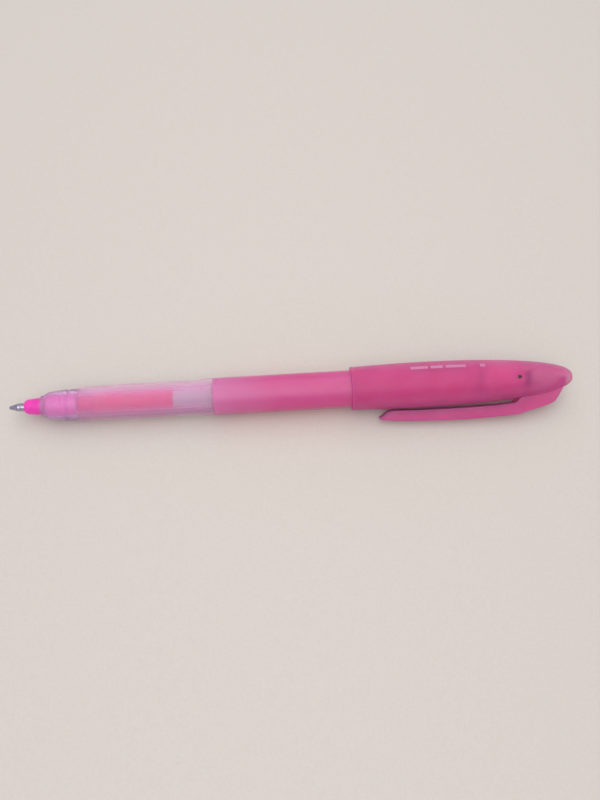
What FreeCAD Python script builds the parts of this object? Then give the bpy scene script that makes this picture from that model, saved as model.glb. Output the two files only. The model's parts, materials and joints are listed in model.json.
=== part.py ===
"""Capped gel stick pen with its cap posted on the tail, modelled as its separate pieces.

Every round piece is turned about the pen's own axis, the X axis. Outlines are drawn in stations,
the distance in millimetres back from the writing point, and a radius. place() then carries a piece
into the part's frame: the origin is on the axis at the middle of the bare barrel, +X runs towards the
cap's end, and the whole pen is rolled so that it lies on its cap and on the edge of its clip.
"""

import FreeCAD, Part
import math
import os

# ---- driving dimensions, in millimetres and degrees ----
BODY_LENGTH = 133.0  # writing point to the end of the tail plug
CAP_LENGTH = 63.0
CAP_MOUTH = 97.0  # station of the cap's open end when it is posted on the tail
BARREL_R = 5.22
BARREL_WALL = 1.02
POST_R = 5.15  # the barrel's tail, which the posted cap slides on
GRIP_FRONT = 20.2
GRIP_BACK = 58.2
INK_TUBE_R = 3.0
INK_TUBE_WALL = 0.5
BALL_R = 0.35
CAP_R = 6.5  # at the belly of the cap
CAP_WALL = 1.05
CLIP_WIDTH = 4.3
CLIP_ROLL = 29.9  # how far below the horizontal the clip points when the pen lies at rest

# ---- fits and worked-out dimensions ----
RUN = 0.05  # radial clearance of a piece that slides or turns in another
SEAT = 0.02  # clearance of a piece that is pressed home in another
BARREL_BORE_R = BARREL_R - BARREL_WALL
BARREL_INSERT_R = BARREL_BORE_R - SEAT
INK_TUBE_BORE_R = INK_TUBE_R - INK_TUBE_WALL
INK_R = INK_TUBE_BORE_R - SEAT
CAP_END = CAP_MOUTH + CAP_LENGTH
CAP_BORE_R = POST_R + RUN + SEAT
ORIGIN = (GRIP_BACK + CAP_MOUTH) / 2

X_AXIS = FreeCAD.Vector(1, 0, 0)
Z_AXIS = FreeCAD.Vector(0, 0, 1)
CENTRE = FreeCAD.Vector(0, 0, 0)


# ---- drawing helpers ----
def at(station, radius):
    return FreeCAD.Vector(station, radius, 0)


def rounded(points):
    """Edges through (station, radius) corners; a third number rounds that corner with a tangent arc."""
    corners = [at(*point[:2]) for point in points]
    sizes = [point[2] if len(point) > 2 else 0 for point in points]
    edges = []
    last = corners[0]
    for before, corner, after, size in zip(corners, corners[1:], corners[2:], sizes[1:]):
        start, end = corner, corner
        if size:
            back = (before - corner).normalize()
            on = (after - corner).normalize()
            half = back.getAngle(on) / 2
            start = corner + back * (size / math.tan(half))
            end = corner + on * (size / math.tan(half))
            middle = corner + (back + on).normalize() * (size / math.sin(half) - size)
        edges.append(line(last, start))
        if size:
            edges.append(arc(start, middle, end))
        last = end
    return edges + [line(last, corners[-1])]


def line(start, end):
    return Part.LineSegment(start, end).toShape()


def arc(start, middle, end):
    return Part.Arc(start, middle, end).toShape()


def spline(points, first=None, last=None):
    """A smooth edge through (station, radius) points, with its directions at the ends where they matter."""
    places = [at(*point) for point in points]
    curve = Part.BSplineCurve()
    if first or last:
        first = at(*first) if first else places[1] - places[0]
        last = at(*last) if last else places[-1] - places[-2]
        curve.interpolate(Points=places, InitialTangent=first.normalize(), FinalTangent=last.normalize())
    else:
        curve.interpolate(places)
    return curve.toShape()


def closed(edges):
    """A face inside a ring of edges."""
    return Part.Face(Part.Wire(Part.__sortEdges__(edges)))


def turned(edges):
    """The solid that a ring of edges sweeps round the pen's axis."""
    return closed(edges).revolve(CENTRE, X_AXIS, 360)


def spun(points):
    return turned(rounded(points + points[:1]))


def cylinder(radius, start, end):
    return Part.makeCylinder(radius, end - start, at(start, 0), X_AXIS)


def place(shape):
    """Carries a piece from stations into the part's frame."""
    shape = shape.copy()
    shape.translate(FreeCAD.Vector(-ORIGIN, 0, 0))
    shape.rotate(CENTRE, X_AXIS, CLIP_ROLL)
    return shape


# ---- the writing point ----
POINT_LIP = 0.17  # the cone stops here and leaves the ball standing out
POINT_LIP_R = 0.42
POINT_SHOULDER = 2.6
POINT_R = 1.15
POINT_BACK = 7.2
POINT_BORE_R = 0.6
POINT_GROOVE = 3.4
GROOVE_DEPTH = 0.1
FEED_R = 0.2
FEED_BACK = 1.6
SOCKET_GAP = 0.012


def writing_ball():
    return Part.makeSphere(BALL_R, at(BALL_R, 0))


def metal_point():
    """Turned point: a cone crimped over the ball, a score line, and a shank pressed into the holder."""
    groove_r = POINT_R - GROOVE_DEPTH
    body = spun([
        (POINT_LIP, 0), (POINT_LIP, POINT_LIP_R), (POINT_SHOULDER, POINT_R, 0.6),
        (POINT_GROOVE, POINT_R), (POINT_GROOVE + GROOVE_DEPTH, groove_r),
        (POINT_GROOVE + 2 * GROOVE_DEPTH, groove_r), (POINT_GROOVE + 3 * GROOVE_DEPTH, POINT_R),
        (POINT_BACK - GROOVE_DEPTH, POINT_R), (POINT_BACK, groove_r), (POINT_BACK, 0),
    ])
    socket = Part.makeSphere(BALL_R + SOCKET_GAP, at(BALL_R, 0))
    feed = cylinder(FEED_R, BALL_R, FEED_BACK)
    bore = cylinder(POINT_BORE_R, FEED_BACK - SEAT, POINT_BACK)
    return body.cut(socket.fuse([feed, bore]))


# ---- the refill: holder, valve ball, tube, ink and follower ----
NOSE_RIM = 9.4  # where the holder goes into the clear nose
HOLDER_FRONT = 4.75
HOLDER_FRONT_R = 1.75
COLLAR_FRONT_R = 2.12
COLLAR_BACK_R = 2.42
HOLDER_NECK_R = 2.45
HOLDER_STEP = 10.65  # the nose's inner shoulder stops the refill here
HOLDER_R = 2.9
SHOULDER_SLOPE = 0.5
FLANGE_FRONT = 18.3
FLANGE_BACK = 19.4
FLANGE_R = 3.08
FLANGE_GROOVE_R = 2.7
SPIGOT_END = 24.5
SPIGOT_TAPER = 0.3
FUNNEL_R = 1.7
FUNNEL_LENGTH = 3.0
CHANNEL_R = 0.7
CHAMBER_FRONT = 12.6
CHAMBER_BACK = 15.9
CHAMBER_R = 1.3
CHECK_BALL_R = 1.0
TUBE_BACK = 127.9
INK_LEVEL = 46.9
MENISCUS = 0.7
FOLLOWER_LENGTH = 8.0


def tip_holder():
    """Moulded holder: domed collar in front of the nose, valve chamber, flange and tube spigot."""
    groove = FLANGE_FRONT - 0.5
    body = spun([
        (HOLDER_FRONT, 0), (HOLDER_FRONT, HOLDER_FRONT_R, 0.12), (HOLDER_FRONT + 0.8, COLLAR_FRONT_R, 0.8),
        (NOSE_RIM - 0.8, COLLAR_BACK_R, 3.0), (NOSE_RIM - 0.3, HOLDER_NECK_R), (HOLDER_STEP, HOLDER_NECK_R),
        (HOLDER_STEP + SHOULDER_SLOPE, HOLDER_R, 0.2), (groove, HOLDER_R), (groove, FLANGE_GROOVE_R),
        (FLANGE_FRONT, FLANGE_GROOVE_R), (FLANGE_FRONT, FLANGE_R, 0.15), (FLANGE_BACK, FLANGE_R, 0.15),
        (FLANGE_BACK, INK_R), (SPIGOT_END - 2 * SPIGOT_TAPER, INK_R), (SPIGOT_END, INK_R - SPIGOT_TAPER),
        (SPIGOT_END, 0),
    ])
    point_seat = cylinder(POINT_R + SEAT, HOLDER_FRONT, POINT_BACK + SEAT)
    channel = cylinder(CHANNEL_R, HOLDER_FRONT, SPIGOT_END)
    chamber = spun([
        (CHAMBER_FRONT, 0), (CHAMBER_FRONT, CHAMBER_R), (CHAMBER_BACK - CHAMBER_R + CHANNEL_R, CHAMBER_R),
        (CHAMBER_BACK, CHANNEL_R), (CHAMBER_BACK, 0),
    ])
    funnel_front = SPIGOT_END - FUNNEL_LENGTH
    funnel = spun([(funnel_front, 0), (funnel_front, CHANNEL_R), (SPIGOT_END, FUNNEL_R), (SPIGOT_END, 0)])
    return body.cut(point_seat.fuse([channel, chamber, funnel]))


def check_ball():
    """Ball that closes the chamber's rear seat when the pen is held with its point up."""
    return Part.makeSphere(CHECK_BALL_R, at(CHAMBER_FRONT + CHECK_BALL_R + RUN, 0))


def ink_tube():
    tube = cylinder(INK_TUBE_R, FLANGE_BACK + SEAT, TUBE_BACK)
    return tube.cut(cylinder(INK_TUBE_BORE_R, FLANGE_BACK, TUBE_BACK))


def meniscus(station):
    """Round hollow end of the ink, as a ball that is centred on the axis behind it."""
    radius = (INK_R**2 + MENISCUS**2) / (2 * MENISCUS)
    return Part.makeSphere(radius, at(station - MENISCUS + radius, 0))


def ink_column():
    """The ink that is left, from the holder's spigot back to the follower."""
    return cylinder(INK_R, SPIGOT_END + SEAT, INK_LEVEL).cut(meniscus(INK_LEVEL))


def ink_follower():
    """Clear grease plug behind the ink; its front fills the hollow end of the ink."""
    front = INK_LEVEL + SEAT
    back = front + FOLLOWER_LENGTH
    plug = cylinder(INK_R, front, back).fuse(meniscus(front).common(cylinder(INK_R, front - MENISCUS, back)))
    return plug.cut(meniscus(back)).removeSplitter()


# ---- the body: clear nose, grip, barrel and tail plug ----
NOSE_RIM_R = 2.95
NOSE_BULLET = [(10.4, 3.08), (10.5, 3.35, 0.1), (11.6, 3.85, 1.5), (14.0, 4.2, 3.0)]
NOSE_BORE_R = 3.15
CORE_R = 3.75  # the nose's tube under the grip
BEAD = 15.6  # a ring round the nose that the cap snaps over
BEAD_WIDTH = 1.1
BEAD_SLOPE = 0.2
BEAD_R = 4.36
BEAD_GROOVE_R = 4.2
BEAD_GROOVE = 0.6
GRIP_NOSE_R = 4.83
GRIP_WAIST = [(21.4, 4.86), (38.0, 5.0), (50.0, 4.94), (54.0, 5.02), (55.8, 5.28)]
GRIP_RIM_R = 5.34
SPIGOT_BACK = 68.0  # how far the nose's tube goes into the barrel
POST_STEP = 96.2  # the barrel narrows here to the tail that carries the cap
BARREL_BACK = 130.4
TAIL_INSERT = 121.5
TAIL_SOCKET = 128.0
TAIL_R = 4.95
TAIL_RIM = 1.0
TAIL_END_R = 3.6
TAIL_VENT_R = 0.5
LEAD_IN = 0.6
END_EASE = 0.35


def nose_section():
    """Clear moulding: nose with a snap bead, thin tube under the grip, and spigot in the barrel."""
    neck_r = HOLDER_NECK_R + SEAT
    shoulder = HOLDER_STEP + SEAT
    bead_back = BEAD + BEAD_WIDTH
    collar = bead_back + BEAD_SLOPE + BEAD_GROOVE
    return spun([(NOSE_RIM, neck_r), (NOSE_RIM, NOSE_RIM_R, 0.15)] + NOSE_BULLET + [
        (BEAD, BEAD_GROOVE_R + SEAT), (BEAD + BEAD_SLOPE, BEAD_R, 0.1), (bead_back, BEAD_R, 0.1),
        (bead_back + BEAD_SLOPE, BEAD_GROOVE_R), (collar, BEAD_GROOVE_R), (collar + BEAD_SLOPE, BEAD_R, 0.1),
        (GRIP_FRONT, BEAD_R, 0.1), (GRIP_FRONT, CORE_R), (GRIP_BACK, CORE_R), (GRIP_BACK, BARREL_INSERT_R),
        (SPIGOT_BACK - LEAD_IN, BARREL_INSERT_R), (SPIGOT_BACK, BARREL_INSERT_R - LEAD_IN / 2),
        (SPIGOT_BACK, NOSE_BORE_R), (shoulder + SHOULDER_SLOPE, NOSE_BORE_R), (shoulder, neck_r),
    ])


def grip_sleeve():
    """Frosted rubber sleeve with a shallow waist and a rim that stands level with the barrel."""
    front = GRIP_FRONT + SEAT
    back = GRIP_BACK - SEAT
    inner = CORE_R + SEAT
    flare = GRIP_WAIST[-1]
    nose_end = rounded([(front, inner), (front, GRIP_NOSE_R, 0.25), GRIP_WAIST[0]])
    rim = rounded([
        flare, (flare[0] + 0.5, GRIP_RIM_R, 0.8), (back, GRIP_RIM_R, 0.2), (back, inner), (front, inner),
    ])
    return turned(nose_end + [spline(GRIP_WAIST)] + rim)


def barrel():
    """Translucent tube between the grip and the tail plug; the cap's mouth stops against its step."""
    front = GRIP_BACK + SEAT
    return spun([
        (front, BARREL_BORE_R), (front, BARREL_R, END_EASE), (POST_STEP, BARREL_R),
        (POST_STEP + LEAD_IN, POST_R), (BARREL_BACK, POST_R, END_EASE), (BARREL_BACK, BARREL_BORE_R),
    ])


def tail_plug():
    """Plug pressed into the barrel's rear; it steadies the ink tube and lets air in behind it."""
    head = BARREL_BACK + SEAT
    socket_r = INK_TUBE_R + RUN
    plug = spun([
        (TAIL_INSERT, socket_r), (TAIL_INSERT, BARREL_INSERT_R - LEAD_IN / 2),
        (TAIL_INSERT + LEAD_IN, BARREL_INSERT_R), (head, BARREL_INSERT_R), (head, TAIL_R, 0.1),
        (head + TAIL_RIM, TAIL_R, 0.5), (BODY_LENGTH, TAIL_END_R, 0.8), (BODY_LENGTH, 0), (TAIL_SOCKET, 0),
        (TAIL_SOCKET, socket_r),
    ])
    return plug.cut(cylinder(TAIL_VENT_R, TAIL_SOCKET, BODY_LENGTH))


# ---- the cap: shell, clip, inner cap and tip seal ----
LIP_WIDTH = 0.7
LIP_R = 6.2
CAP_MOUTH_R = 6.1
CAP_SWELL = (107.0, 6.38)
CAP_BELLY = 117.0
MOUTH_FLARE = 0.3
BORE_END = 133.6  # the bore is straight up to here
END_WALL = 1.4
DOME_ALONG = 2.0  # exponents of the dome's superellipse
DOME_ACROSS = 2.7
ALONG = (1, 0)  # directions of an outline: along the pen, and in towards its axis
INWARD = (0, -1)
INNER_CAP_R = 3.7
INNER_CAP_WALL = 0.65
INNER_CAP_FRONT = 133.8
INNER_CAP_BACK = 145.7
INNER_CAP_NECK = 2.3  # its narrow rear starts this far in front of the seal
SEAL_FRONT = 144.4
SEAL_BACK = 148.0
SEAL_R = 2.4
SEAL_STOP = 0.15  # the inner cap's neck holds the seal from the front by this much
SEAL_DIMPLE_R = 0.9
SEAL_POST_WALL = 0.7
RIB_FRONT = 136.0
RIB_LENGTH = 7.0
RIB_WIDTH = 0.7
VENT_AT = 143.5
VENT_R = 0.4
VENT_TURN = 102.5  # each vent's turn about the axis, from the clip
HINGE_AT = 144.0  # the clip's flex line
HINGE_RHO = 8.4  # its distance from the pen's axis
KNUCKLE_R = 1.55
ROOT_FOOT_R = 2.0
ROOT_BACK = [(146.4, 9.35, 6.0), (150.5, 8.3, 12.0), (154.2, 6.9, 0.8), (156.1, 4.0, 1.5)]
CLIP_TIP = 104.7
CLIP_TIP_RHO = 8.95
CLIP_TIP_WIDTH = 3.4
TIP_BEVEL = 0.8
CLIP_OUTER = [(138.0, 10.3), (126.0, 10.5), (113.0, 10.1), (105.7, 9.5)]
CLIP_NIB = [(107.7, 7.05), (108.6, 6.85), (109.8, 6.95)]  # the nib that grips what the clip is pushed on
CLIP_INNER = [(117.0, 7.3), (128.0, 7.45), (138.0, 7.3)]
CLIP_EASE = 0.4
CLIP_REACH = 12.0  # further from the axis than any part of the clip


def dome(start, end, belly_r, steps=14):
    """Superellipse from the belly to a blunt end, with its points closer together at that end."""
    points = []
    for step in range(steps + 1):
        station = start + (end - start) * math.sin(math.pi / 2 * step / steps)
        share = min(1.0, (station - CAP_BELLY) / (end - CAP_BELLY))
        points.append((station, belly_r * (1 - share**DOME_ALONG) ** (1 / DOME_ACROSS)))
    return points


def cap_outside():
    """Solid of the cap's outer form: lip, belly and dome."""
    start = CAP_MOUTH + LIP_WIDTH
    lip = rounded([(CAP_MOUTH, 0), (CAP_MOUTH, LIP_R, 0.2), (start, LIP_R, 0.08), (start, CAP_MOUTH_R)])
    belly = spline([(start, CAP_MOUTH_R), CAP_SWELL, (CAP_BELLY, CAP_R)], last=ALONG)
    end = spline(dome(CAP_BELLY, CAP_END, CAP_R), first=ALONG, last=INWARD)
    return turned(lip + [belly, end, line(at(CAP_END, 0), at(CAP_MOUTH, 0))])


def cap_hollow():
    """What is taken out of the cap: the straight bore, and a dome one wall inside the outer one."""
    end = CAP_END - END_WALL
    inside = dome(BORE_END, end, CAP_R - CAP_WALL)
    bore = rounded([
        (CAP_MOUTH, 0), (CAP_MOUTH, CAP_BORE_R + MOUTH_FLARE), (CAP_MOUTH + MOUTH_FLARE, CAP_BORE_R),
        (BORE_END, CAP_BORE_R), inside[0],
    ])
    return turned(bore + [spline(inside, last=INWARD), line(at(end, 0), at(CAP_MOUTH, 0))])


def clip_slice(tip_width, root_width, back):
    """Upright slice through the pen on the clip's side, narrower towards the clip's bevelled free end."""
    tip, root = tip_width / 2, root_width / 2
    outline = rounded([
        (back, root), (HINGE_AT, root), (CLIP_TIP + TIP_BEVEL, tip), (CLIP_TIP, tip - TIP_BEVEL),
        (CLIP_TIP, TIP_BEVEL - tip), (CLIP_TIP + TIP_BEVEL, -tip), (HINGE_AT, -root), (back, -root),
        (back, root),
    ])
    face = closed(outline)
    face.rotate(CENTRE, X_AXIS, 90)
    return face.extrude(FreeCAD.Vector(0, -CLIP_REACH, 0))


def knuckle(radius):
    """Round bar along the clip's flex line, longer than the clip is wide."""
    start = FreeCAD.Vector(HINGE_AT, -HINGE_RHO, -CLIP_WIDTH)
    return Part.makeCylinder(radius, 2 * CLIP_WIDTH, start, Z_AXIS)


def clip_root():
    """Block that carries the clip, standing on the end of the cap."""
    foot = (HINGE_AT + RUN, ROOT_FOOT_R)
    top = (HINGE_AT + RUN, HINGE_RHO + KNUCKLE_R)
    block = turned(rounded([foot, top] + ROOT_BACK + [(CAP_END - 2 * END_WALL, ROOT_FOOT_R), foot]))
    return block.common(clip_slice(CLIP_WIDTH, CLIP_WIDTH, CAP_END)).cut(knuckle(KNUCKLE_R + RUN))


def seal_post():
    """Post inside the cap's end whose socket holds the tip seal."""
    socket = cylinder(SEAL_R + SEAT, SEAL_FRONT, SEAL_BACK + SEAT)
    return cylinder(SEAL_R + SEAL_POST_WALL, INNER_CAP_BACK + SEAT, CAP_END - END_WALL).cut(socket)


def ribs():
    """Four ribs in the cap's dome that centre the inner cap."""
    corner = FreeCAD.Vector(RIB_FRONT, -RIB_WIDTH / 2, INNER_CAP_R + SEAT)
    blade = Part.makeBox(RIB_LENGTH, RIB_WIDTH, CAP_R - INNER_CAP_R, corner)
    blades = []
    for turn in range(45, 360, 90):
        rib = blade.copy()
        rib.rotate(CENTRE, X_AXIS, turn)
        blades.append(rib)
    return blades


def cap_shell():
    """Frosted cap, moulded with the clip's root, its seats inside, and two small air vents."""
    outside = cap_outside()
    shell = outside.fuse(clip_root()).cut(cap_hollow())
    shell = shell.fuse([piece.common(outside) for piece in [seal_post()] + ribs()])
    for side in (-1, 1):
        vent = Part.makeCylinder(VENT_R, CAP_R, FreeCAD.Vector(VENT_AT, 0, 0), FreeCAD.Vector(0, -1, 0))
        vent = vent.cut(cylinder(INNER_CAP_R + SEAT, VENT_AT - 1, VENT_AT + 1))
        vent.rotate(CENTRE, X_AXIS, side * VENT_TURN)
        shell = shell.cut(vent)
    return shell.removeSplitter()


def cap_clip():
    """The clip's springing arm, from its flex line to a nib and a beak at the free end."""
    top, under = (HINGE_AT, HINGE_RHO + KNUCKLE_R), (HINGE_AT, HINGE_RHO - KNUCKLE_R)
    outer = spline([top] + CLIP_OUTER)
    beak = rounded([CLIP_OUTER[-1], (CLIP_TIP, CLIP_TIP_RHO, 0.2), CLIP_NIB[0]])
    nib = arc(*[at(*point) for point in CLIP_NIB])
    inner = spline([CLIP_NIB[-1]] + CLIP_INNER + [under])
    arm = turned([outer, nib, inner, line(at(*under), at(*top))] + beak)
    arm = arm.common(clip_slice(CLIP_TIP_WIDTH, CLIP_WIDTH, CAP_END))
    long_edges = [edge for edge in arm.Edges if edge.Length > CAP_LENGTH / 2]
    arm = arm.makeFillet(CLIP_EASE, [edge for edge in long_edges if edge.BoundBox.YMin < -HINGE_RHO])
    crown = cylinder(HINGE_RHO + KNUCKLE_R, HINGE_AT - 2 * KNUCKLE_R, HINGE_AT + 2 * KNUCKLE_R)
    pin = knuckle(KNUCKLE_R).common(crown).common(clip_slice(CLIP_WIDTH, CLIP_WIDTH, CAP_END))
    return arm.fuse(pin).removeSplitter()


def inner_cap():
    """Tube inside the cap that closes over the nose's rim when the cap is on the point."""
    bore_r = INNER_CAP_R - INNER_CAP_WALL
    bore_neck_r = SEAL_R - SEAL_STOP
    neck_r = SEAL_R + SEAL_POST_WALL
    neck = SEAL_FRONT - INNER_CAP_NECK
    return spun([
        (INNER_CAP_FRONT, INNER_CAP_R - 0.1), (INNER_CAP_FRONT, bore_r + MOUTH_FLARE),
        (INNER_CAP_FRONT + MOUTH_FLARE, bore_r), (neck - 3.0, bore_r, 1.0), (neck - 1.0, bore_neck_r, 1.0),
        (SEAL_FRONT, bore_neck_r), (SEAL_FRONT, SEAL_R + SEAT), (INNER_CAP_BACK, SEAL_R + SEAT),
        (INNER_CAP_BACK, neck_r), (neck, neck_r, 1.0), (neck - 2.0, INNER_CAP_R, 1.0),
        (INNER_CAP_FRONT + 0.1, INNER_CAP_R),
    ])


def tip_seal():
    """Rubber plug with a dimple that the ball rests in when the cap is on the point."""
    plug = cylinder(SEAL_R, SEAL_FRONT + SEAT, SEAL_BACK)
    return plug.cut(Part.makeSphere(SEAL_DIMPLE_R, at(SEAL_FRONT - SEAL_DIMPLE_R / 2, 0)))


PIECES = [
    writing_ball, metal_point, tip_holder, check_ball, ink_tube, ink_column, ink_follower, nose_section,
    grip_sleeve, barrel, tail_plug, cap_shell, cap_clip, inner_cap, tip_seal,
]


def main():
    os.makedirs("parts", exist_ok=True)
    for piece in PIECES:
        shape = place(piece())
        shape.exportStep(f"parts/{piece.__name__}.step")
        box = shape.optimalBoundingBox()
        sides = [box.XMin, box.XMax, box.YMin, box.YMax, box.ZMin, box.ZMax]
        print(piece.__name__, len(shape.Solids), shape.isValid(), *[round(side, 2) for side in sides])


main()
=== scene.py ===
"""Looks of a capped gel pen that lies on a desk with its cap posted on the tail.

Outlines are in stations, millimetres back from the writing point, and radii in millimetres.
at() carries them into the frame: the datum is the front of the CAD ball, and the roll is the clip's.
"""

import json
import math

import bmesh
import bpy
from mathutils import Matrix, Vector


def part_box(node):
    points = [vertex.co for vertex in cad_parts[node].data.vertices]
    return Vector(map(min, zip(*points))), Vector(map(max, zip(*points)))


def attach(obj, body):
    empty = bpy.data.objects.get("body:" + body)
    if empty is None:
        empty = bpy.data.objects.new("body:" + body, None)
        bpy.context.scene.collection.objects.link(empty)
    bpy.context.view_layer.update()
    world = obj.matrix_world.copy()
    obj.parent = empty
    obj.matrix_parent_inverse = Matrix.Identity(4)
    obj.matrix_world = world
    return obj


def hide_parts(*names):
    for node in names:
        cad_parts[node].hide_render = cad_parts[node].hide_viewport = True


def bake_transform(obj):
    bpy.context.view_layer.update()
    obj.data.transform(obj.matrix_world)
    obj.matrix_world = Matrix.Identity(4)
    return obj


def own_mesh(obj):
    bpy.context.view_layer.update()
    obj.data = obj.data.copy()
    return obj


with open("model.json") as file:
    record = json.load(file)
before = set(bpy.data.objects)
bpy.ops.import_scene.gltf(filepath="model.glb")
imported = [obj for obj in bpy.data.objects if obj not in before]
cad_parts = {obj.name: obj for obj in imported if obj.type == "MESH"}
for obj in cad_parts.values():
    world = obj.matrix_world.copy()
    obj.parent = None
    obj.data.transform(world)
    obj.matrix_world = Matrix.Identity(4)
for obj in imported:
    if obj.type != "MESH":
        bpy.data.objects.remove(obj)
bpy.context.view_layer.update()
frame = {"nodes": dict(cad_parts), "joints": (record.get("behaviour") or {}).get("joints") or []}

MM = 0.001
TIP_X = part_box("writing_ball")[0].x
CLIP_JOINT = next(joint for joint in frame["joints"] if joint["name"] == "clip_flex")
ROLL = math.atan2(-CLIP_JOINT["axis"][1], CLIP_JOINT["axis"][2])
ROLLED = Matrix.Rotation(ROLL, 4, "X")

# ---- sizes in millimetres, as on the real pen ----
NOSE_R = 4.2
BEAD_R = 4.36
NOSE_BORE_R = 3.15
CORE_R = 3.75
BARREL_FRONT = 58.22
BARREL_BACK = 130.4
BARREL_R = 5.22
POST_R = 5.15
BARREL_WALL = 1.02
CAP_MOUTH = 97.0
CAP_END = 160.0
CAP_R = 6.5
CAP_MOUTH_R = 6.2
CAP_BORE_R = 5.22
CAP_WALL = 1.05
CAP_BELLY = 117.0
CAP_SWELL = [(97.7, 6.1), (102.0, 6.25), (107.0, 6.38), (112.0, 6.47), (CAP_BELLY, CAP_R)]
DOME_ALONG = 2.0  # exponents of the dome's superellipse
DOME_ACROSS = 2.7
CAP_DOME_FROM = 133.6  # the bore ends here and the hollow dome begins
GRIP_FRONT = 20.22
GRIP_BACK = 58.18
GRIP_BORE_R = 3.77
GRIP_FRONT_R = 4.83
GRIP_BACK_R = 5.34
INK_FRONT = 24.52
INK_LEVEL = 46.9
INK_R = 2.56
INK_HOLLOW = 0.7  # depth of the hollow that the follower leaves in the ink
CLIP_TIP = 104.6
CLIP_WIDENS = 39.4  # length over which the clip gets wider towards its root
CLIP_TIP_HALF = 1.7
CLIP_ROOT_HALF = 2.15
CLIP_NOSE = 104.4  # the tip is rounded as seen from above: it starts here at a share of its width
CLIP_NOSE_LENGTH = 1.6
CLIP_NOSE_SHARE = 0.62
BAR_TURN = math.radians(142)
BAR_HALF = 0.55
BAR_PROUD = 0.03
BAR_SUNK = 0.05
VENT_AT = 143.5
VENT_TURN = math.radians(102.5)
VENT_R = 5.44  # distance of the cap's surface from the axis at the vent
VENT_STRETCH = 1.5  # length of its painted shade over its width
TURNS = 144  # facets round a turned piece

# ---- stations between which a colour or a density changes ----
# from here back the holder is painted lighter, against the shade inside the nose
HOLDER_PAINTED_LIGHTER = (9.0, 13.0)
SPIGOT_ENDS = (24.2, 24.7)
INK_ENDS = (46.6, 47.0)
BARREL_DEEPENS = (58.0, 76.0)
CAP_THINS = (CAP_DOME_FROM, 137.0)


# ---------------------------------------------------------------- shapes
def at(station, rho, turn=0.0):
    """A point at a station and a distance from the axis; turn is in radians from the clip's side."""
    across = rho * math.sin(turn)
    point = ROLLED @ Vector((0, -rho * math.cos(turn), across))
    return Vector((TIP_X + station * MM, point.y * MM, point.z * MM))


def eased(points, steps=5):
    """An outline through (station, radius) corners; a third number rounds that corner with an arc."""
    places = [Vector(point[:2]) for point in points]
    outline = []
    for index, point in enumerate(points):
        corner = places[index]
        if len(point) < 3:
            outline.append(tuple(corner))
            continue
        back = (places[index - 1] - corner).normalized()
        on = (places[(index + 1) % len(places)] - corner).normalized()
        half = back.angle(on) / 2
        size = point[2]
        centre = corner + (back + on).normalized() * (size / math.sin(half))
        start = corner + back * (size / math.tan(half)) - centre
        sweep = start.angle_signed(corner + on * (size / math.tan(half)) - centre)
        for step in range(steps + 1):
            arm = start.copy()
            arm.rotate(Matrix.Rotation(-sweep * step / steps, 2))
            outline.append(tuple(centre + arm))
    return outline


def smooth(points, steps=8):
    """A soft curve through (station, radius) points, one number of steps between each two."""
    places = [Vector(point) for point in points]
    ends = [2 * places[0] - places[1]] + places + [2 * places[-1] - places[-2]]
    curve = []
    for before, start, end, after in zip(ends, ends[1:], ends[2:], ends[3:]):
        for step in range(steps):
            t = step / steps
            pull_in = (end - before) / 2
            pull_out = (after - start) / 2
            curve.append(tuple(
                start * (2 * t**3 - 3 * t**2 + 1) + pull_in * (t**3 - 2 * t**2 + t)
                + end * (3 * t**2 - 2 * t**3) + pull_out * (t**3 - t**2)
            ))
    return curve + [tuple(places[-1])]


def dome_radius(station, end, belly_r):
    """Radius of a superellipse that is widest at the cap's belly and closes at a station."""
    share = min(1.0, (station - CAP_BELLY) / (end - CAP_BELLY))
    return belly_r * (1 - share**DOME_ALONG) ** (1 / DOME_ACROSS)


def dome(start, end, belly_r, steps=40):
    """Outline of the dome from a station behind the belly back to its blunt end."""
    points = []
    for step in range(steps + 1):
        station = start + (end - start) * math.sin(math.pi / 2 * step / steps)
        points.append((station, dome_radius(station, end, belly_r)))
    return points


def finished(name, bm, sharp=32):
    """Turns a bmesh into an object with smooth faces and with sharp edges where it bends a lot."""
    bmesh.ops.remove_doubles(bm, verts=bm.verts, dist=1e-7)
    bmesh.ops.recalc_face_normals(bm, faces=bm.faces)
    for face in bm.faces:
        face.smooth = True
    for edge in bm.edges:
        edge.smooth = not (len(edge.link_faces) == 2 and edge.calc_face_angle() > math.radians(sharp))
    mesh = bpy.data.meshes.new(name)
    bm.to_mesh(mesh)
    bm.free()
    piece = bpy.data.objects.new(name, mesh)
    bpy.context.scene.collection.objects.link(piece)
    return piece


def loft(name, rows, sharp=32, caps=False):
    """A skin over rows of points. A row is a ring, or one point where the form closes."""
    bm = bmesh.new()
    rings = [[bm.verts.new(point) for point in row] for row in rows]
    for ring, following in zip(rings, rings[1:]):
        count = max(len(ring), len(following))
        for index in range(count if count > 1 else 0):
            after = (index + 1) % count
            corners = [ring[index % len(ring)], ring[after % len(ring)],
                       following[after % len(following)], following[index % len(following)]]
            bm.faces.new(list(dict.fromkeys(corners)))
    if caps:
        bm.faces.new(rings[0])
        bm.faces.new(rings[-1])
    return finished(name, bm, sharp)


def turned(name, outline, turns=TURNS):
    """A lathe form from a closed outline that may touch the axis."""
    rows = []
    for station, radius in outline + outline[:1]:
        spread = [0.0] if radius < 1e-6 else [2 * math.pi * step / turns for step in range(turns)]
        rows.append([at(station, radius, turn) for turn in spread])
    while len(rows[0]) == 1 and len(rows[-1]) == 1:
        rows.pop()
    return loft(name, rows)


# ---------------------------------------------------------------- materials
def srgb(red, green, blue):
    """Linear colour from the 0 to 255 values of a colour chart."""
    linear = []
    for value in (red / 255, green / 255, blue / 255):
        linear.append(value / 12.92 if value <= 0.04045 else ((value + 0.055) / 1.055) ** 2.4)
    return (*linear, 1.0)


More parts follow.
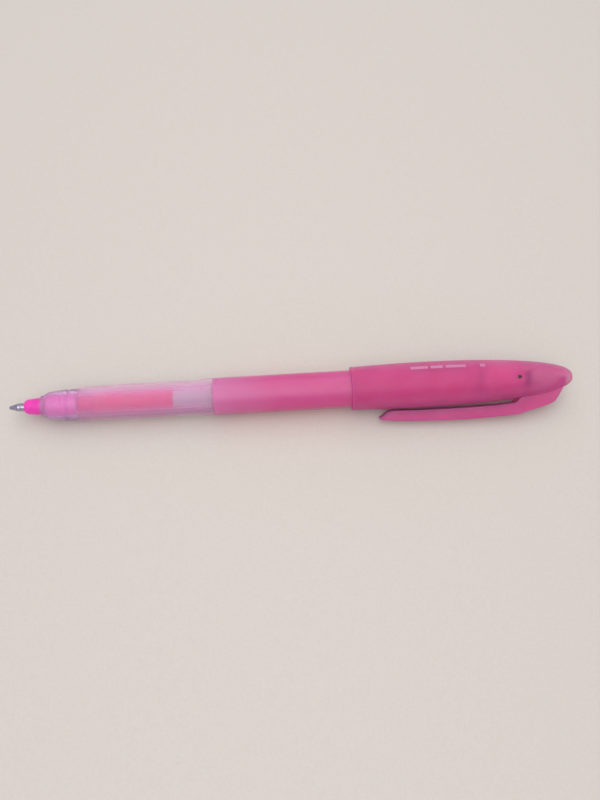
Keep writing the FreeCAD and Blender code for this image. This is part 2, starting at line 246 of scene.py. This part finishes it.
class Finish:
    """A Principled material whose colour, roughness and relief vary over the surface."""

    def __init__(self, name, **plain):
        self.material = bpy.data.materials.new(name)
        self.material.use_nodes = True
        self.nodes = self.material.node_tree.nodes
        self.links = self.material.node_tree.links
        self.shader = self.nodes["Principled BSDF"]
        for socket, value in plain.items():
            self.shader.inputs[socket.replace("_", " ")].default_value = value
        self.place = self.nodes.new("ShaderNodeTexCoord").outputs["Object"]

    def noise(self, size, detail=3.0, stretch=(1, 1, 1)):
        """Noise whose blots are about size millimetres wide."""
        mapping = self.nodes.new("ShaderNodeMapping")
        mapping.inputs["Scale"].default_value = stretch
        self.links.new(self.place, mapping.inputs["Vector"])
        noise = self.nodes.new("ShaderNodeTexNoise")
        noise.inputs["Scale"].default_value = 1 / (size * MM)
        noise.inputs["Detail"].default_value = detail
        self.links.new(mapping.outputs["Vector"], noise.inputs["Vector"])
        return noise.outputs["Fac"]

    def along(self, start, end):
        """0 before the start station, 1 after the end one."""
        split = self.nodes.new("ShaderNodeSeparateXYZ")
        self.links.new(self.place, split.inputs["Vector"])
        return self.spread(split.outputs["X"], TIP_X + start * MM, TIP_X + end * MM, 0.0, 1.0)

    def spread(self, value, low, high, to_low, to_high):
        """Carries a value from one range into another; an end of a range may be another output."""
        ranged = self.nodes.new("ShaderNodeMapRange")
        ends = {"From Min": low, "From Max": high, "To Min": to_low, "To Max": to_high}
        for socket, number in ends.items():
            if isinstance(number, float):
                ranged.inputs[socket].default_value = number
            else:
                self.links.new(number, ranged.inputs[socket])
        self.links.new(value, ranged.inputs["Value"])
        return ranged.outputs["Result"]

    def mix(self, share, first, second):
        """Mixes two colours, each a tuple or another output."""
        mixed = self.nodes.new("ShaderNodeMix")
        mixed.data_type = "RGBA"
        self.links.new(share, mixed.inputs[0])
        for socket, colour in ((mixed.inputs[6], first), (mixed.inputs[7], second)):
            if isinstance(colour, tuple):
                socket.default_value = colour
            else:
                self.links.new(colour, socket)
        return mixed.outputs[2]

    def colour(self, output):
        self.links.new(output, self.shader.inputs["Base Color"])
        return self

    def veil(self, face_on, edge_on):
        """Density of a milky wall, from face on to seen along; face_on may be another output."""
        weight = self.nodes.new("ShaderNodeLayerWeight")
        density = self.spread(weight.outputs["Facing"], 0.0, 1.0, face_on, edge_on)
        self.links.new(density, self.shader.inputs["Alpha"])
        return self

    def rough(self, low, high, size=2.0):
        """Roughness that drifts between two values."""
        drift = self.spread(self.noise(size), 0.3, 0.7, low, high)
        self.links.new(drift, self.shader.inputs["Roughness"])
        return self

    def relief(self, size, height, strength=1.0, stretch=(1, 1, 1)):
        """Fine bumps: their size and height are in millimetres."""
        bump = self.nodes.new("ShaderNodeBump")
        bump.inputs["Strength"].default_value = strength
        bump.inputs["Distance"].default_value = height * MM
        self.links.new(self.noise(size, 2.0, stretch), bump.inputs["Height"])
        self.links.new(bump.outputs["Normal"], self.shader.inputs["Normal"])
        return self


def mottled(name, light, dark, size=3.0, stretch=(1, 1, 1), **plain):
    """A material whose colour drifts softly between two close tints."""
    finish = Finish(name, **plain)
    share = finish.spread(finish.noise(size, 2.0, stretch), 0.35, 0.65, 0.0, 1.0)
    return finish.colour(finish.mix(share, light, dark))


def hot_pink():
    """Hot pink holder with a painted glow: a little pink emission lifts it. Its parts inside the nose are
    painted lighter than its collar, against the shade inside the clear nose.
    """
    finish = Finish(
        "hot_pink_moulding", IOR=1.49, Emission_Color=srgb(255, 60, 180), Emission_Strength=0.1
    )
    mottle = finish.spread(finish.noise(2.5, 2.0), 0.35, 0.65, 0.0, 1.0)
    collar = finish.mix(mottle, srgb(212, 52, 162), srgb(203, 44, 150))
    # painted light: lighter where the holder sits in the shade of the nose
    inside = finish.mix(mottle, srgb(244, 62, 170), srgb(238, 52, 160))
    finish.colour(finish.mix(finish.along(*HOLDER_PAINTED_LIGHTER), collar, inside))
    return finish.rough(0.28, 0.4).relief(0.12, 0.002, 0.4).material


def steel():
    """Steel with the fine rings that turning leaves."""
    finish = mottled(
        "turned_steel", srgb(186, 180, 198), srgb(146, 140, 162), 0.4, (1, 0.1, 0.1), Metallic=1.0,
    )
    return finish.rough(0.16, 0.3, 0.5).relief(0.1, 0.004, 0.5, (1, 0.05, 0.05)).material


def carbide():
    finish = mottled("ground_ball", srgb(190, 188, 192), srgb(150, 120, 150), 0.3, Metallic=1.0)
    return finish.rough(0.08, 0.2, 0.2).material


def clear_nose():
    finish = mottled(
        "clear_moulding", srgb(241, 204, 246), srgb(238, 196, 243), 3.0,
        Transmission_Weight=0.78, IOR=1.22,
        Subsurface_Weight=1.0, Subsurface_Radius=(3.0, 2.0, 3.0), Subsurface_Scale=MM,
    )
    return finish.rough(0.08, 0.14).relief(0.6, 0.004, 0.4).material


def thin_clear():
    """The nose's tube where it is hidden under the grip and in the barrel."""
    finish = mottled("clear_core", srgb(250, 200, 238), srgb(246, 192, 232), 3.0, IOR=1.2)
    return finish.veil(0.05, 0.3).rough(0.25, 0.4).material


def clear_tube():
    """Clear tube: tinted round the holder's spigot, stained along the ink, milky with grease behind it."""
    finish = Finish("clear_tube", IOR=1.25)
    mottle = finish.spread(finish.noise(4.0, 2.0), 0.35, 0.65, 0.0, 1.0)
    clear = finish.mix(mottle, srgb(254, 236, 250), srgb(252, 230, 247))
    stained = finish.mix(mottle, srgb(254, 208, 235), srgb(252, 200, 231))
    tinted = finish.mix(mottle, srgb(253, 168, 216), srgb(251, 160, 210))
    emptied = finish.along(*INK_ENDS)
    filled = finish.mix(emptied, stained, clear)
    finish.colour(finish.mix(finish.along(*SPIGOT_ENDS), tinted, filled))
    clarity = finish.spread(emptied, 0.0, 1.0, 0.84, 0.58)
    finish.links.new(clarity, finish.shader.inputs["Transmission Weight"])
    return finish.rough(0.02, 0.08).material


def frosted_grip():
    finish = mottled(
        "frosted_rubber", srgb(244, 180, 222), srgb(240, 171, 216), 4.0, IOR=1.3,
        Subsurface_Weight=1.0, Subsurface_Radius=(3.0, 2.0, 3.0), Subsurface_Scale=MM,
    )
    return finish.veil(0.06, 0.5).rough(0.3, 0.4).relief(0.15, 0.003, 0.12).material


def gel_ink():
    """Hot pink gel ink with a painted glow: a little pink emission makes it give back more light, mostly
    red, than falls on it.
    """
    finish = mottled(
        "gel_ink", srgb(255, 44, 140), srgb(251, 36, 132), 1.5, (0.3, 1, 1), IOR=1.15,
        # painted glow: the ink is no lamp
        Emission_Color=srgb(255, 40, 150), Emission_Strength=0.07,
    )
    return finish.rough(0.35, 0.5).material


def grease():
    finish = mottled("clear_grease", srgb(246, 216, 240), srgb(242, 208, 234), 2.0, Alpha=0.6, IOR=1.2)
    return finish.rough(0.2, 0.4).material


def pink_tube():
    """Translucent barrel, paler at the front where the clear spigot stands behind it. A little pink
    emission is a painted glow.
    """
    finish = Finish(
        "pink_tube", Transmission_Weight=0.2, IOR=1.47,
        Subsurface_Weight=1.0, Subsurface_Radius=(8.0, 1.5, 3.0), Subsurface_Scale=MM,
        # painted glow: the barrel is no lamp
        Emission_Color=srgb(255, 60, 150), Emission_Strength=0.03,
    )
    mottle = finish.spread(finish.noise(5.0, 2.0, (0.3, 1, 1)), 0.35, 0.65, 0.0, 1.0)
    pale = finish.mix(mottle, srgb(252, 124, 174), srgb(249, 117, 168))
    deep = finish.mix(mottle, srgb(252, 90, 150), srgb(249, 82, 144))
    finish.colour(finish.mix(finish.along(*BARREL_DEEPENS), pale, deep))
    return finish.rough(0.3, 0.4).relief(0.3, 0.002, 0.3).material


def pink_cap(name, front, back):
    """Frosted translucent plastic; front and back are its densities before and behind CAP_THINS."""
    finish = mottled(
        name, srgb(222, 88, 155), srgb(216, 80, 147), 5.0, Transmission_Weight=0.15, IOR=1.4,
        Subsurface_Weight=1.0, Subsurface_Radius=(8.0, 1.5, 3.0), Subsurface_Scale=MM,
    )
    face_on = finish.spread(finish.along(*CAP_THINS), 0.0, 1.0, front, back)
    return finish.veil(face_on, 0.85).rough(0.32, 0.42).relief(0.12, 0.006, 0.5).material


def inner_pink():
    finish = mottled(
        "inner_moulding", srgb(244, 112, 172), srgb(240, 104, 164), 3.0, Transmission_Weight=0.1,
    )
    return finish.rough(0.4, 0.5).material


def dark_rubber():
    finish = mottled("dark_rubber", srgb(24, 58, 84), srgb(14, 46, 70), 1.0)
    return finish.rough(0.6, 0.75).relief(0.1, 0.01, 0.6).material


def painted_vent_shade():
    # painted shade: the dark colour of the vent's shaded hole
    finish = mottled("painted_vent_shade", srgb(40, 10, 30), srgb(22, 6, 18), 0.3)
    return finish.rough(0.5, 0.7, 0.3).material


def faded_print():
    finish = mottled("faded_print", srgb(199, 124, 166), srgb(191, 112, 156), 0.5)
    return finish.rough(0.4, 0.55).material


def desk():
    finish = mottled("pale_desk", srgb(196, 189, 182), srgb(193, 186, 179), 0.7)
    return finish.rough(0.5, 0.62).relief(0.5, 0.01, 0.3).material


# ---------------------------------------------------------------- pieces
def clad(piece, material):
    """Gives a piece one material all over."""
    piece.data.materials.clear()
    piece.data.materials.append(material)
    return piece


def stands_for(piece, node, body, material):
    """A finished piece that rides on a body and takes the place of a CAD node, which it hides."""
    clad(piece, material)
    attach(piece, body)
    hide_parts(node)
    return piece


def nose_section():
    """Nose with a snap bead in two rings, a thin core under the grip and a spigot in the barrel."""
    outline = eased([
        (9.4, 2.47), (9.4, 2.95, 0.15), (10.4, 3.08), (10.5, 3.35, 0.1), (11.6, 3.85, 1.5),
        (14.0, NOSE_R, 3.0), (15.6, 4.22),
        (15.8, BEAD_R, 0.1), (16.7, BEAD_R, 0.1), (16.9, NOSE_R), (17.5, NOSE_R), (17.7, BEAD_R, 0.1),
        (20.2, BEAD_R, 0.1), (20.2, CORE_R), (58.2, CORE_R),
        (58.2, 4.18), (67.4, 4.18), (68.0, 3.88), (68.0, NOSE_BORE_R),
        (20.2, NOSE_BORE_R), (11.17, NOSE_BORE_R), (10.67, 2.47),
    ])
    piece = turned("nose_section_look", outline)
    stands_for(piece, "nose_section", "pen", clear_nose())
    piece.data.materials.append(thin_clear())
    hidden_from = at(GRIP_FRONT, 0).x
    for face in piece.data.polygons:
        face.material_index = 1 if face.center.x > hidden_from else 0


def grip_sleeve():
    """Rubber sleeve that swells a little in the middle and flares up to the barrel."""
    waist_from = (21.4, 4.86)
    front = [(GRIP_FRONT, GRIP_BORE_R), (GRIP_FRONT, GRIP_FRONT_R, 0.25), waist_from]
    waist = smooth([waist_from, (30.0, 4.93), (38.0, 5.0), (50.0, 4.94), (54.0, 5.02), (55.8, 5.28)])
    back = [(56.3, GRIP_BACK_R), (GRIP_BACK, GRIP_BACK_R, 0.2), (GRIP_BACK, GRIP_BORE_R)]
    outline = eased(front) + waist[1:] + eased(back)
    stands_for(turned("grip_sleeve_look", outline), "grip_sleeve", "pen", frosted_grip())


def barrel():
    """Barrel and the slightly narrower post that the cap sits on."""
    bore = BARREL_R - BARREL_WALL
    outline = eased([
        (BARREL_FRONT, bore), (BARREL_FRONT, BARREL_R, 0.35), (75.0, BARREL_R), (96.2, BARREL_R),
        (96.8, POST_R), (BARREL_BACK, POST_R, 0.35), (BARREL_BACK, bore),
    ])
    stands_for(turned("barrel_look", outline), "barrel", "pen", pink_tube())


def cap_shell():
    """Hollow cap: a swelling front and a blunt dome, with a plain bore for the post."""
    lip = [(CAP_MOUTH, 5.52), (CAP_MOUTH, CAP_MOUTH_R, 0.2), (97.7, CAP_MOUTH_R, 0.08)]
    outside = eased(lip) + smooth(CAP_SWELL) + dome(CAP_BELLY, CAP_END, CAP_R)[1:]
    inside = dome(CAP_DOME_FROM, CAP_END - 1.4, CAP_R - CAP_WALL)
    outline = outside + inside[::-1] + [(CAP_DOME_FROM, CAP_BORE_R), (97.3, CAP_BORE_R)]
    stands_for(turned("cap_shell_look", outline), "cap_shell", "cap", pink_cap("pink_cap", 0.5, 0.35))


def bar_row(station, outer, inner, half, ease=0.42, steps=5):
    """A ring of points round the bar at one station: crowned top, eased edges, flat sides."""
    ease = min(ease, half * 0.8, (outer - inner) * 0.4)
    ring = []
    for side, edge in ((1, outer), (-1, inner)):
        for corner in (1, -1):
            for step in range(steps + 1):
                angle = math.pi / 2 * step / steps
                if corner * side < 0:
                    angle = math.pi / 2 - angle
                across = corner * side * (half - ease + ease * math.cos(angle))
                drop = side * (ease - ease * math.sin(angle))
                crown = edge - math.sqrt(max(edge * edge - across * across, 0.0))
                ring.append((across, edge - crown - drop))
    axis_point = at(station, 0)
    return [axis_point + ROLLED @ Vector((0, -rho * MM, across * MM)) for across, rho in ring]


def clip_inner(station):
    """Distance of the clip's inner face from the axis: its nib, its long hollow and its root."""
    marks = [(104.7, 8.7), (107.7, 7.05), (108.6, 6.85), (109.8, 6.95), (117.0, 7.15), (128.0, 7.2),
             (138.0, 7.05), (143.0, 6.7), (145.5, 5.0), (150.0, 4.3), (155.0, 3.0), (158.0, 1.6)]
    for (start, low), (end, high) in zip(marks, marks[1:]):
        if station <= end:
            share = (station - start) / (end - start)
            return low + (high - low) * share * share * (3 - 2 * share)
    return marks[-1][1]


def clip():
    """Clip and its root in one sweep: each row is a rounded bar, crowned about the pen's axis."""
    back = smooth([(105.7, 9.5), (113.0, 10.1), (126.0, 10.5), (138.0, 10.3), (144.0, 9.93), (146.4, 9.3),
                   (150.5, 8.3), (153.6, 7.3), (154.6, 6.7)], 12)
    rows = []
    for station, rho in [(104.72, 9.0)] + back + [(155.6, 5.4), (156.6, 3.9), (157.5, 2.6)]:
        wide = min(1.0, (station - CLIP_TIP) / CLIP_WIDENS)
        half = CLIP_TIP_HALF + (CLIP_ROOT_HALF - CLIP_TIP_HALF) * wide
        rounded = min(1.0, (station - CLIP_NOSE) / CLIP_NOSE_LENGTH)
        half *= CLIP_NOSE_SHARE + (1 - CLIP_NOSE_SHARE) * math.sin(math.pi / 2 * rounded)
        rows.append(bar_row(station, rho, clip_inner(station), half))
    piece = loft("clip_look", rows, caps=True)
    clad(piece, pink_cap("pink_clip", 0.72, 0.72))
    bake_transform(piece)
    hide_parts("cap_clip")


def ink_column(steps=8):
    """Ink with the hollow end that the rounded follower presses into it."""
    ball = (INK_R**2 + INK_HOLLOW**2) / (2 * INK_HOLLOW)
    bottom = INK_LEVEL - INK_HOLLOW
    end = []
    for step in range(steps):
        angle = math.asin(INK_R / ball) * (1 - step / steps)
        end.append((bottom + ball * (1 - math.cos(angle)), ball * math.sin(angle)))
    end.append((bottom, 0.0))
    side = eased([(INK_FRONT, 0.5), (INK_FRONT, INK_R, 0.1), (30.0, INK_R)])
    piece = turned("ink_column_look", [(INK_FRONT, 0.0)] + side[1:] + end)
    stands_for(piece, "ink_column", "pen", gel_ink())
    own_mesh(piece)


def cap_radius(station):
    """Radius of the cap's outside between its mouth and its end."""
    for (start, low), (end, high) in zip(CAP_SWELL, CAP_SWELL[1:]):
        if station <= end:
            return low + (high - low) * (station - start) / (end - start)
    return dome_radius(station, CAP_END, CAP_R)


def printed_bars(steps=12, across=6):
    """Plain raised bars on the cap where a print would be."""
    material = faded_print()
    for index, (start, end) in enumerate([(113.6, 118.4), (119.2, 122.6), (123.4, 129.0), (133.0, 134.4)]):
        rows = []
        for step in range(steps + 1):
            station = start + (end - start) * step / steps
            surface = cap_radius(station)
            half = BAR_HALF / surface
            turns = [half * (2 * k / across - 1) for k in range(across + 1)]
            top = [at(station, surface + BAR_PROUD, BAR_TURN + turn) for turn in turns]
            low = [at(station, surface - BAR_SUNK, BAR_TURN + turn) for turn in reversed(turns)]
            rows.append(top + low)
        piece = loft(f"print_bar_{index}", rows, caps=True)
        clad(piece, material)
        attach(piece, "cap")


def vent(steps=24):
    """Small air vent in the cap: no hole is cut, and a dark disc on the cap is painted shade where the
    inside of the hole would be.
    """
    centre = at(VENT_AT, VENT_R, VENT_TURN)
    normal = (centre - at(VENT_AT, 0)).normalized()
    side = normal.cross(Vector((1, 0, 0))).normalized()
    along = side.cross(normal) * VENT_STRETCH
    rows = []
    for height, radius in ((0.02, 0.0), (0.02, 0.2), (0.03, 0.34), (0.02, 0.46), (-0.04, 0.5)):
        row = []
        for step in range(steps if radius else 1):
            angle = 2 * math.pi * step / steps
            spread = side * radius * math.cos(angle) + along * radius * math.sin(angle)
            row.append(centre + (normal * height + spread) * MM)
        rows.append(row)
    piece = loft("vent_shade_disc", rows)
    clad(piece, painted_vent_shade())
    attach(piece, "cap")


def carried_nodes():
    """CAD nodes that are seen as they are."""
    looks = {
        "writing_ball": carbide(),
        "metal_point": steel(),
        "tip_holder": hot_pink(),
        "check_ball": carbide(),
        "ink_tube": clear_tube(),
        "ink_follower": grease(),
        "tail_plug": pink_tube(),
        "inner_cap": inner_pink(),
        "tip_seal": dark_rubber(),
    }
    for node, material in looks.items():
        clad(frame["nodes"][node], material)


# ---------------------------------------------------------------- desk, camera and light
REST_FRONT = (20.3, 4.83)  # the pen's underside touches the desk at the grip's front edge
REST_BACK = (108.8, 6.42)  # and under the cap
DESK_REACH = 6.0  # metres, past the horizon of a low view
CAMERA_HEIGHT = math.radians(66)
CAMERA_YAW = math.radians(3.1)
CAMERA_AWAY = 0.2052
CAMERA_ASIDE = 0.00254
CAMERA_LOWER = 0.00226


def resting_point(station, radius):
    return Vector((TIP_X + station * MM, 0, -radius * MM))


def desk_directions():
    """Along the pen, away from the viewer, and up from the desk."""
    along = (resting_point(*REST_BACK) - resting_point(*REST_FRONT)).normalized()
    away = Vector((0, 1, 0))
    return along, away, along.cross(away)


def make_desk():
    along, away = desk_directions()[:2]
    bm = bmesh.new()
    corners = []
    for x, y in ((-1, -1), (1, -1), (1, 1), (-1, 1)):
        corners.append(resting_point(*REST_FRONT) + along * x * DESK_REACH + away * y * DESK_REACH)
    bm.faces.new([bm.verts.new(corner) for corner in corners])
    floor = finished("desk_top", bm)
    clad(floor, desk())


def make_camera():
    """Looks down at the pen from a hand's height, with the pen a little askew."""
    along, away, up = desk_directions()
    right = along * math.cos(CAMERA_YAW) - away * math.sin(CAMERA_YAW)
    ahead = along * math.sin(CAMERA_YAW) + away * math.cos(CAMERA_YAW)
    forward = ahead * math.cos(CAMERA_HEIGHT) - up * math.sin(CAMERA_HEIGHT)
    top = ahead * math.sin(CAMERA_HEIGHT) + up * math.cos(CAMERA_HEIGHT)
    data = bpy.data.cameras.new("camera")
    data.lens = 32.5
    data.clip_start = 0.01
    camera = bpy.data.objects.new("camera", data)
    place = at(CAP_END / 2, 0) - forward * CAMERA_AWAY + right * CAMERA_ASIDE - top * CAMERA_LOWER
    turn = Matrix((right, top, -forward)).transposed().to_4x4()
    camera.matrix_world = Matrix.Translation(place) @ turn
    bpy.context.scene.collection.objects.link(camera)
    bpy.context.scene.camera = camera


def area_light(name, place, size, power, colour):
    """A square light that faces the middle of the pen."""
    data = bpy.data.lights.new(name, "AREA")
    data.size = size
    data.energy = power
    data.color = colour
    light = bpy.data.objects.new(name, data)
    light.location = place
    light.rotation_euler = (-Vector(place)).to_track_quat("-Z", "Y").to_euler()
    bpy.context.scene.collection.objects.link(light)


def make_light():
    """Soft light from all round, a window behind the pen and a ceiling lamp in front of it."""
    world = bpy.data.worlds.new("studio")
    bpy.context.scene.world = world
    world.use_nodes = True
    background = world.node_tree.nodes["Background"]
    background.inputs["Color"].default_value = (0.96, 0.97, 1.0, 1)
    background.inputs["Strength"].default_value = 0.62
    area_light("window", (0.03, 0.3, 0.57), 0.6, 1.6, (1.0, 0.985, 0.96))
    area_light("ceiling", (-0.05, -0.3, 0.8), 0.8, 4.0, (1.0, 0.98, 0.97))
    bpy.context.scene.view_settings.view_transform = "Standard"


nose_section()
grip_sleeve()
barrel()
cap_shell()
clip()
ink_column()
printed_bars()
vent()
carried_nodes()
make_desk()
make_camera()
make_light()
